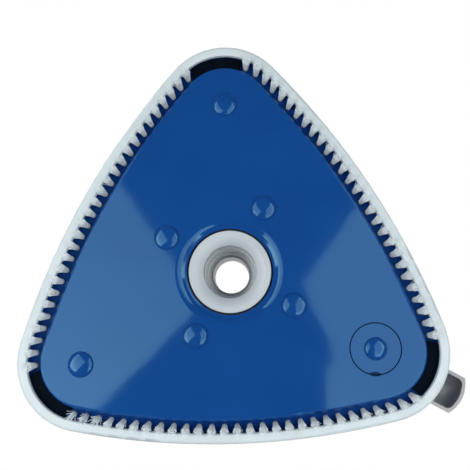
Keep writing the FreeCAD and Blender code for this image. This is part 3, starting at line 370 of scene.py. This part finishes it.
def pale_vinyl(name, colour):
    """Soft pale vinyl: even skin with a pebbled grain, faint smears and greyer low edges worn by rubbing."""
    finish = Finish(name)
    drift = finish.noise(45 * MM, 4.0, 0.55)
    pebble = finish.cells(0.55 * MM, "SMOOTH_F1")
    ripple = finish.noise(14 * MM, 2.0)
    smear = finish.spread(finish.noise(8 * MM, 4.0, 0.65, finish.stretched((1.0, 1.0, 3.0))), 0.56, 0.74)
    # real wear: the low edges rubbed greyer
    rubbed_and_lit_edge = finish.spread(finish.level("Z"), 4.6 * MM, 7.4 * MM, 1.0, 0.0)
    tone = finish.tint(finish.spread(drift, 0.3, 0.7), shade(colour, 0.95), shade(colour, 1.04))
    dirty = finish.tint(smear * (0.10 + 0.10 * rubbed_and_lit_edge), tone, (0.40, 0.42, 0.42))
    finish.set(
        Base_Color=dirty,
        Roughness=0.42 + 0.10 * drift + 0.08 * smear,
        Subsurface_Weight=0.06,
        Subsurface_Radius=(1.0, 1.0, 1.0),
        Subsurface_Scale=0.6 * MM,
    )
    finish.relief((ripple, 0.05 * MM), (pebble, 0.010 * MM))
    return finish.material


def shaded_neck(finish, tone, colour):
    """Painted shade in the gap round the neck's collar, and painted shade that deepens into its mouth and
    down its bore.
    """
    low, high = box_of("swivel_neck")
    washer_low, _ = box_of("thrust_washer")
    radius = finish.away(0, 0)
    level = finish.level("Z")
    # painted shade in the gap under the collar
    collar_shade = finish.between(level, low.z + 1.8 * MM, washer_low.z + 1.0 * MM) * (radius > high.x - 6.3 * MM)
    # painted shade in the mouth and down the bore
    mouth = finish.spread(radius, 18.0 * MM, 24.5 * MM, 0.5, 0.0)
    mouth = mouth * finish.spread(level, 14 * MM, 32 * MM, 1.0, 0.0)
    wall = finish.spread(level, 20 * MM, 55 * MM, 18.9 * MM, 14.6 * MM)
    bore = (radius < wall) * finish.spread(level, 20 * MM, 50 * MM, 0.5, 0.8)
    tone = finish.tint(collar_shade, tone, COLLAR_GAP_SHADE)
    return finish.tint(finish.sum("MAXIMUM", mouth, bore), tone, shade(colour, 0.4))


def lit_handle_rim(finish, tone, colour):
    """The handle's lowest edges, painted lighter where they catch the light from below."""
    low, high = box_of("pivot_pin_left")
    rim = (low.z + high.z) / 2 - 1.7 * MM
    # painted light on the handle's lowest edges
    rubbed_and_lit_edge = finish.spread(finish.level("Z"), rim, rim + 0.5 * MM, 1.0, 0.0)
    return finish.tint(rubbed_and_lit_edge, tone, (0.36, 0.37, 0.37))


def grey_plastic(name, colour, grain_depth, gloss, painted_light_and_shade):
    """Satin grey moulding with a spark grain, rub marks, slow drift of tone, and the painted light and shade
    from the function it is given.
    """
    finish = Finish(name)
    drift = finish.noise(35 * MM, 3.0)
    grain = finish.noise(0.5 * MM, 3.0, 0.6)
    marks = scuffs(finish, (0, 0, 1.2), 0.64)
    tone = finish.tint(finish.spread(drift, 0.3, 0.7), shade(colour, 0.93), shade(colour, 1.06))
    tone = finish.tint(marks * 0.35, tone, shade(colour, 1.5))
    finish.set(
        Base_Color=painted_light_and_shade(finish, tone, colour),
        Roughness=0.26 + 0.10 * drift + 0.08 * grain,
        Specular_IOR_Level=gloss,
    )
    finish.relief((grain, grain_depth))
    return finish.material


def bristle_nylon(name, colour):
    """White nylon filaments, each a little different, with a little subsurface light and a faint painted glow
    that brightens them.
    """
    finish = Finish(name)
    hair = finish.noise(0.8 * MM, 2.0, 0.5, finish.stretched((1.0, 1.0, 0.12)))
    tip = finish.spread(finish.level("Z"), 0.2 * MM, 2.5 * MM, 1.0, 0.0)
    tone = finish.tint(finish.spread(hair, 0.3, 0.7), shade(colour, 0.95), colour)
    finish.set(
        Base_Color=finish.tint(tip * 0.08, tone, (0.72, 0.76, 0.78)),
        Roughness=0.30 + 0.18 * hair,
        Specular_IOR_Level=0.7,
        # painted glow: a faint emission that brightens the filaments
        Emission_Color=colour,
        Emission_Strength=0.035,
        Subsurface_Weight=0.6,
        Subsurface_Radius=(1.0, 1.0, 1.0),
        Subsurface_Scale=1.2 * MM,
    )
    finish.relief((hair, 0.01 * MM))
    return finish.material


def black_rubber(name, colour):
    """Matt black rubber with a dusty bloom."""
    finish = Finish(name)
    bloom = finish.spread(finish.noise(5 * MM, 4.0, 0.6), 0.45, 0.75)
    grain = finish.noise(0.3 * MM, 2.0)
    finish.set(
        Base_Color=finish.tint(bloom * 0.15, colour, (0.014, 0.016, 0.02)),
        Roughness=0.52 + 0.2 * bloom,
        Specular_IOR_Level=0.03,
        Specular_Tint=full((0.4, 0.7, 1.0)),
    )
    finish.relief((grain, 0.012 * MM))
    return finish.material


def white_nylon(name, colour):
    """Turned white nylon with fine concentric tool lines."""
    finish = Finish(name)
    drift = finish.noise(8 * MM, 3.0)
    lines = finish.node("ShaderNodeTexWave", {"wave_type": "RINGS", "rings_direction": "Z"}, {
        "Vector": finish.place, "Scale": 1 / (1.2 * MM), "Distortion": 0.4})
    finish.set(
        Base_Color=finish.tint(drift, shade(colour, 0.93), colour),
        Roughness=0.35 + 0.1 * drift,
    )
    finish.relief((lines, 0.006 * MM))
    return finish.material


def stainless(name, colour):
    """Polished stainless with rolling lines and water marks."""
    finish = Finish(name)
    lines = finish.noise(0.5 * MM, 3.0, 0.6, finish.stretched((1.0, 0.05, 1.0)))
    marks = finish.spread(finish.noise(3 * MM, 3.0), 0.5, 0.75)
    finish.set(
        Base_Color=finish.tint(marks * 0.4, colour, shade(colour, 0.72)),
        Metallic=1.0,
        Roughness=0.18 + 0.12 * lines + 0.15 * marks,
    )
    finish.relief((lines, 0.004 * MM))
    return finish.material


def ballast_steel(name, colour):
    """Cast ballast under a dark lumpy coat."""
    finish = Finish(name)
    lumps = finish.noise(1.6 * MM, 4.0, 0.6)
    chips = finish.spread(finish.noise(4 * MM, 4.0, 0.7), 0.64, 0.68)
    finish.set(
        Base_Color=finish.tint(chips, colour, (0.16, 0.10, 0.07)),
        Metallic=0.2 * (1 - chips),
        Roughness=0.55 + 0.2 * lumps,
    )
    finish.relief((lumps, 0.08 * MM))
    return finish.material


# Modelling helpers

def only(*pieces):
    """Selects these pieces alone, the first one active."""
    bpy.ops.object.select_all(action="DESELECT")
    for piece in pieces:
        piece.select_set(True)
    bpy.context.view_layer.objects.active = pieces[0]


def named(name):
    piece = bpy.context.active_object
    piece.name = name
    piece.data.name = name
    return piece


def placed(piece, place):
    """A copy of piece with its own mesh, moved by a matrix."""
    copy = piece.copy()
    copy.data = piece.data.copy()
    copy.data.transform(place)
    bpy.context.scene.collection.objects.link(copy)
    return copy


def joined(pieces, name):
    only(*pieces)
    bpy.ops.object.join()
    return named(name)


def settle(piece):
    """Puts a piece's place into its mesh."""
    only(piece)
    bpy.ops.object.transform_apply(location=True, rotation=True, scale=True)


def dress(piece, material):
    piece.data.materials.clear()
    piece.data.materials.append(material)


def applied(piece, kind, **settings):
    only(piece)
    modifier = piece.modifiers.new(kind.title(), kind)
    for name, value in settings.items():
        setattr(modifier, name, value)
    bpy.ops.object.modifier_apply(modifier=modifier.name)


def finish_of(slot):
    return bpy.data.materials[slot]


# Brushes

def solids_of(node):
    """The corners of each separate solid in a node."""
    mesh = bmesh.new()
    mesh.from_mesh(frame["nodes"][node].data)
    bmesh.ops.remove_doubles(mesh, verts=mesh.verts, dist=0.001 * MM)
    left = set(mesh.verts)
    solids = []
    for first in mesh.verts:
        if first not in left:
            continue
        left.remove(first)
        reach = [first]
        solid = [first]
        while reach:
            for edge in reach.pop().link_edges:
                for corner in edge.verts:
                    if corner in left:
                        left.remove(corner)
                        reach.append(corner)
                        solid.append(corner)
        solids.append([corner.co.copy() for corner in solid])
    mesh.free()
    return solids


def middle_of(solid):
    return sum(solid, Vector()) / len(solid)


def in_order(solids, start):
    """The solids in order round the head's axis, counted from an angle that none of them lies at."""
    def turn(solid):
        middle = middle_of(solid)
        return round((math.atan2(middle.y, middle.x) - start) % math.tau, 5)

    return sorted(solids, key=turn)


def tuft_axes(node):
    """(root, tip) of every tuft in a brush strip's node, in order along the strip."""
    axes = []
    solids = solids_of(node)
    strip = middle_of([middle_of(solid) for solid in solids])
    behind = math.atan2(strip.y, strip.x) + math.pi
    for solid in in_order(solids, behind):
        heights = [corner.z for corner in solid]
        ends = []
        for level in (max(heights), min(heights)):
            ring = [corner for corner in solid if abs(corner.z - level) < 0.05 * MM]
            ends.append(middle_of(ring))
        axes.append(tuple(ends))
    return axes


def straight_filament(sizes, length):
    """One filament, hanging from the origin: a ring pulled down in steps and rounded at its end."""
    bpy.ops.object.select_all(action="DESELECT")
    bpy.ops.mesh.primitive_circle_add(vertices=4, radius=sizes.filament_radius, fill_type="NGON")
    filament = named("filament")
    bpy.ops.object.mode_set(mode="EDIT")
    bpy.ops.mesh.select_all(action="SELECT")
    steps = 5
    for _ in range(steps):
        bpy.ops.mesh.extrude_region_move(TRANSFORM_OT_translate={"value": (0, 0, -length / steps)})
    bpy.ops.mesh.extrude_region_move(TRANSFORM_OT_translate={"value": (0, 0, -FILAMENT_TIP)})
    bpy.ops.transform.resize(value=(0.45, 0.45, 1))
    bpy.ops.object.mode_set(mode="OBJECT")
    only(filament)
    bpy.ops.object.shade_smooth()
    return filament


def tuft(sizes, filament, length, chance, wild):
    """A tuft of filaments that flares from its root to its tip.

    wild is 0 for a sound tuft, and 1 for one that wear has thinned, splayed and shortened.
    """
    strands = []
    count = int(sizes.filaments * (1 - 0.45 * wild))
    golden_angle = math.pi * (3 - math.sqrt(5))
    loose = (0.35 + 0.95 * wild) * MM
    worn_off = 4.0 * MM
    for index in range(count):
        ring = math.sqrt((index + 0.5) / count)
        turn = index * golden_angle
        across = Vector((math.cos(turn), math.sin(turn))) * ring
        root = across * sizes.root_radius
        lean = Vector((across.x * sizes.flare_along, across.y * sizes.flare_across))
        tip = lean * (1 - 0.15 * wild) + Vector((chance.gauss(0, loose), chance.gauss(0, loose)))
        short = chance.random() ** 2 * sizes.ragged + wild * chance.random() * worn_off
        strand = placed(filament, Matrix.Identity(4))
        for corner in strand.data.vertices:
            down = -corner.co.z / length
            spot = root.lerp(tip, down ** 1.35)
            corner.co.x += spot.x
            corner.co.y += spot.y
            corner.co.z *= (length - short) / length
        strands.append(strand)
    return joined(strands, "tuft")


def set_in(tuft_piece, root, tip, length):
    """A copy of a tuft that runs from root to tip, leaning as the tip lies."""
    lean = tip - root
    outward = Vector((lean.x, lean.y, 0)).normalized()
    along = Vector((-outward.y, outward.x, 0))
    slant = Matrix.Identity(4)
    slant[1][2] = -Vector((lean.x, lean.y)).length / length
    upright = Matrix((
        (along.x, outward.x, 0, root.x),
        (along.y, outward.y, 0, root.y),
        (0, 0, 1, root.z),
        (0, 0, 0, 1),
    ))
    return placed(tuft_piece, upright @ slant)


class VACHEAD_OT_bristles(bpy.types.Operator):
    """Builds the nylon tufts of the three brush strips"""
    bl_idname = "vachead.bristles"
    bl_label = "Brush bristles"

    def execute(self, context):
        sizes = context.scene.vachead_brush
        chance = random.Random(7)
        root, tip = tuft_axes("bristles_left")[0]
        sunk = 0.4 * MM
        length = root.z - tip.z + sunk
        filament = straight_filament(sizes, length - FILAMENT_TIP)
        plain = [tuft(sizes, filament, length, chance, 0.0) for _ in range(PLAIN_TUFTS)]
        wild = [tuft(sizes, filament, length, chance, 1.0) for _ in range(WILD_TUFTS)]
        for strip in STRIPS:
            node = f"bristles_{strip}"
            axes = tuft_axes(node)
            tufts = []
            for index, (root, tip) in enumerate(axes):
                root = root + Vector((0, 0, sunk))
                worn = strip == "left" and index >= len(axes) - sizes.splayed
                model = wild[index % len(wild)] if worn else chance.choice(plain)
                tufts.append(set_in(model, root, tip, length))
            bundle = joined(tufts, f"tufts_{strip}")
            dress(bundle, finish_of("bristle_nylon"))
            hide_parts(node)
            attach(bundle, "head")
        for spare in (filament, *plain, *wild):
            bpy.data.objects.remove(spare)
        return {"FINISHED"}


# Screws

def disc(name, corners, radius, level):
    bpy.ops.object.select_all(action="DESELECT")
    bpy.ops.mesh.primitive_circle_add(
        vertices=corners, radius=radius, fill_type="NGON", location=(0, 0, level))
    return named(name)


def raised(piece, steps):
    """Pulls a disc up in (rise, width) steps, closes it and puts its place into its mesh."""
    only(piece)
    bpy.ops.object.mode_set(mode="EDIT")
    bpy.ops.mesh.select_all(action="SELECT")
    for rise, width in steps:
        bpy.ops.mesh.extrude_region_move(TRANSFORM_OT_translate={"value": (0, 0, rise)})
        bpy.ops.transform.resize(value=(width, width, 1))
    bpy.ops.mesh.select_all(action="SELECT")
    bpy.ops.mesh.normals_make_consistent(inside=False)
    bpy.ops.object.mode_set(mode="OBJECT")
    settle(piece)
    return piece


def recess_slot(sizes, top, turn):
    """One slot of the cross recess, narrower at its bottom."""
    bpy.ops.object.select_all(action="DESELECT")
    bpy.ops.mesh.primitive_cube_add(size=1, location=(0, 0, top), rotation=(0, 0, turn))
    slot = named("recess_slot")
    slot.scale = (sizes.recess_length, sizes.recess_width, 2 * sizes.recess_depth)
    settle(slot)
    bottom_share = 0.62
    for corner in slot.data.vertices:
        if corner.co.z < top:
            corner.co.x *= bottom_share
            corner.co.y *= bottom_share
    return slot


def pan_head_screw(sizes, solid):
    """A pan-head screw with a cross recess, upright at the origin, as long and wide as a solid screw."""
    middle = middle_of(solid)
    heights = [corner.z for corner in solid]
    foot, top = min(heights), max(heights)
    reach = {}
    for corner in solid:
        level = round(corner.z, 5)
        radius = math.hypot(corner.x - middle.x, corner.y - middle.y)
        reach[level] = max(radius, reach.get(level, 0.0))
    base = max(reach, key=reach.get)
    shoulders = ((0.34, 1.0), (0.27, 0.955), (0.2, 0.86), (0.13, 0.75), (0.06, 0.6))
    crown = [((top - base) * share, width) for share, width in shoulders]
    head = raised(disc("screw_head", 40, reach[base], base), crown)
    for turn in (0, math.pi / 2):
        slot = recess_slot(sizes, top, turn)
        applied(head, "BOOLEAN", operation="DIFFERENCE", object=slot)
        bpy.data.objects.remove(slot)
    crest = 0.35 * MM
    flank = sizes.pitch / 2 - crest
    root = 0.86
    cone = 0.5 * MM
    blunt = 1.6
    plain = 1.5 * MM
    sunk = 0.3 * MM
    turns = int((base - foot - plain) / sizes.pitch)
    thread = [(crest, 1.0), (flank, root), (crest, 1.0), (flank, 1 / root)] * turns
    left = base + sunk - foot - cone - turns * sizes.pitch
    steps = [(cone, blunt), *thread, (left, 1.0)]
    shank = raised(disc("screw_shank", 16, reach[round(foot, 5)] / blunt, foot), steps)
    screw = joined([head, shank], "screw")
    only(screw)
    bpy.ops.object.shade_smooth_by_angle(angle=math.radians(35))
    return screw


class VACHEAD_OT_screws(bpy.types.Operator):
    """Builds the pan-head screws with their cross recesses"""
    bl_idname = "vachead.screws"
    bl_label = "Screws"

    def execute(self, context):
        sizes = context.scene.vachead_screws
        chance = random.Random(3)
        free_angle = math.radians(45)  # where no screw lies
        for node in ("shell_screws", "bracket_screws"):
            solids = in_order(solids_of(node), free_angle)
            model = pan_head_screw(sizes, solids[0])
            screws = []
            for solid in solids:
                middle = middle_of(solid)
                turn = Matrix.Rotation(chance.uniform(0, math.pi / 2), 4, "Z")
                screws.append(placed(model, Matrix.Translation((middle.x, middle.y, 0)) @ turn))
            bpy.data.objects.remove(model)
            bundle = joined(screws, f"dressed_{node}")
            dress(bundle, finish_of("stainless"))
            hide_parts(node)
            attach(bundle, "head")
        return {"FINISHED"}


# Finishes on the frame

class VACHEAD_OT_finishes(bpy.types.Operator):
    """Makes the finishes and puts them on the frame's nodes"""
    bl_idname = "vachead.finishes"
    bl_label = "Finishes"

    def execute(self, context):
        colours = context.scene.vachead_colours
        # The frame's plain materials give up their names to the finishes
        for plain in list(bpy.data.materials):
            plain.name = f"plain_{plain.name}"
        blue_plastic("blue_plastic", colours.plate)
        navy_plastic("navy_plastic", colours.strip)
        pale_vinyl("pale_vinyl", colours.bumper)
        # The neck gets painted shade, the handle painted light on its lowest edges
        grey_plastic("pale_grey_plastic", colours.neck, 0.006 * MM, 0.5, shaded_neck)
        grey_plastic("grey_plastic", colours.handle, 0.012 * MM, 0.6, lit_handle_rim)
        bristle_nylon("bristle_nylon", colours.bristle)
        black_rubber("black_rubber", colours.rubber)
        white_nylon("white_nylon", colours.washer)
        stainless("stainless", colours.steel)
        ballast_steel("ballast_steel", colours.ballast)
        for part in frame["record"]["subparts"]:
            dress(frame["nodes"][part["node"]], finish_of(part["material_slot"]))
        return {"FINISHED"}


# Stage

def soft_box(name, outline, material):
    """A flat soft box that lights the underside, with the given corners in metres."""
    bpy.ops.object.select_all(action="DESELECT")
    bpy.ops.mesh.primitive_circle_add(vertices=len(outline), radius=0.3, fill_type="NGON")
    box = named(name)
    for corner, (x, y) in zip(box.data.vertices, outline):
        corner.co = (x, y, BOX_LEVEL)
    dress(box, material)
    box.visible_camera = False


def glow(name, level):
    """Light that grows to the left and towards the far end of each box."""
    finish = Finish(name)
    growth = finish.spread(finish.level("X"), -0.3, 0.0, 0.53, 0.34)
    growth = growth + finish.spread(finish.away(0, 0), 0.42, 0.75, 0.0, 0.47)
    finish.set(
        Base_Color=(0.0, 0.0, 0.0),
        Specular_IOR_Level=0.0,
        Emission_Color=finish.tint(growth, (0.0, 0.0, 0.0), (1.0, 1.0, 1.0)),
        Emission_Strength=level,
    )
    return finish.material


def floor_finish():
    """Pale floor that is seen from above only."""
    finish = Finish("pale_floor")
    drift = finish.noise(0.4, 3.0)
    seen = finish.node("ShaderNodeLightPath", out="Is Camera Ray")
    finish.set(
        Base_Color=finish.tint(drift, (0.80, 0.80, 0.80), (0.84, 0.84, 0.84)),
        Roughness=0.6 + 0.1 * drift,
        Emission_Color=finish.tint(seen, (0.0, 0.0, 0.0), (0.2, 0.2, 0.2)),
        Emission_Strength=1.0,
    )
    behind = finish.node("ShaderNodeNewGeometry", out="Backfacing")
    clear = finish.node("ShaderNodeBsdfTransparent")
    both = finish.mixed(behind, Wire(finish, finish.shader.outputs[0]), clear)
    finish.plug(finish.tree.nodes["Material Output"].inputs["Surface"], both)
    return finish.material


def studio_world(sky_level):
    """Even light for surfaces, white behind the object, dark below for what the underside mirrors."""
    world = bpy.data.worlds.new("studio")
    bpy.context.scene.world = world
    world.use_nodes = True
    sky = Nodes(world.node_tree)
    sky.tree.nodes.remove(sky.tree.nodes["Background"])

    def ray(kind):
        return sky.node("ShaderNodeLightPath", out=f"Is {kind} Ray")

    def white(level):
        return sky.node("ShaderNodeBackground", inputs={"Color": full((1.0, 1.0, 1.0)), "Strength": level})

    way = sky.node("ShaderNodeTexCoord", out="Generated")
    height = sky.node("ShaderNodeSeparateXYZ", inputs={"Vector": way}, out="Z")
    mirrored = white(sky.spread(height, -0.15, 0.15, 0.03, 1.0))
    lit = sky.mixed(ray("Glossy"), white(sky_level), mirrored)
    seen = sky.sum("MAXIMUM", ray("Camera"), ray("Transmission"))
    both = sky.mixed(seen, lit, white(1.0))
    sky.plug(sky.tree.nodes["World Output"].inputs["Surface"], both)


class VACHEAD_OT_stage(bpy.types.Operator):
    """Sets the floor, the lamps, the world and the camera"""
    bl_idname = "vachead.stage"
    bl_label = "Stage"

    def execute(self, context):
        sizes = context.scene.vachead_stage
        bpy.ops.object.select_all(action="DESELECT")
        bpy.ops.mesh.primitive_plane_add(size=sizes.floor_width, location=(0, 0, 0))
        floor = named("floor")
        dress(floor, floor_finish())
        floor.visible_diffuse = False
        floor.visible_glossy = False
        floor.visible_transmission = False
        floor.visible_shadow = False
        lit = glow("soft_box_light", sizes.lamp_level)
        soft_box("soft_box_left", LEFT_BOX, lit)
        soft_box("soft_box_right", RIGHT_BOX, lit)
        bpy.ops.object.light_add(type="AREA", location=sizes.top_place)
        lamp = bpy.context.active_object
        lamp.name = "top_soft_lamp"
        lamp.data.shape = "SQUARE"
        lamp.data.size = sizes.top_width
        lamp.data.energy = sizes.top_power
        lamp.rotation_euler = (-lamp.location).to_track_quat("-Z", "Y").to_euler()
        lamp.visible_camera = False
        bpy.ops.object.camera_add(location=sizes.camera_place, rotation=sizes.camera_turn)
        camera = bpy.context.active_object
        camera.name = "camera_below"
        camera.data.lens = sizes.camera_lens
        camera.data.sensor_width = 36.0
        camera.data.clip_start = 0.01
        context.scene.camera = camera
        context.scene.view_settings.view_transform = "Standard"
        studio_world(sizes.sky_level)
        return {"FINISHED"}


class VACHEAD_PT_panel(bpy.types.Panel):
    """Lists the steps that dress the vacuum head"""
    bl_idname = "VACHEAD_PT_panel"
    bl_label = "Vacuum Head"
    bl_space_type = "VIEW_3D"
    bl_region_type = "UI"
    bl_category = "Vacuum Head"

    def draw(self, context):
        for step in STEPS:
            self.layout.operator(step.bl_idname)


STEPS = (VACHEAD_OT_finishes, VACHEAD_OT_bristles, VACHEAD_OT_screws, VACHEAD_OT_stage)
GROUPS = {
    "vachead_brush": BrushSizes,
    "vachead_screws": ScrewSizes,
    "vachead_colours": Colours,
    "vachead_stage": StageSizes,
}


def register():
    for group in GROUPS.values():
        bpy.utils.register_class(group)
    for name, group in GROUPS.items():
        setattr(bpy.types.Scene, name, bpy.props.PointerProperty(type=group))
    for kind in (*STEPS, VACHEAD_PT_panel):
        bpy.utils.register_class(kind)


def unregister():
    for kind in (VACHEAD_PT_panel, *reversed(STEPS)):
        bpy.utils.unregister_class(kind)
    for name, group in GROUPS.items():
        delattr(bpy.types.Scene, name)
        bpy.utils.unregister_class(group)


def main():
    register()
    bpy.ops.vachead.finishes()
    bpy.ops.vachead.bristles()
    bpy.ops.vachead.screws()
    bpy.ops.vachead.stage()


if __name__ == "__main__":
    main()
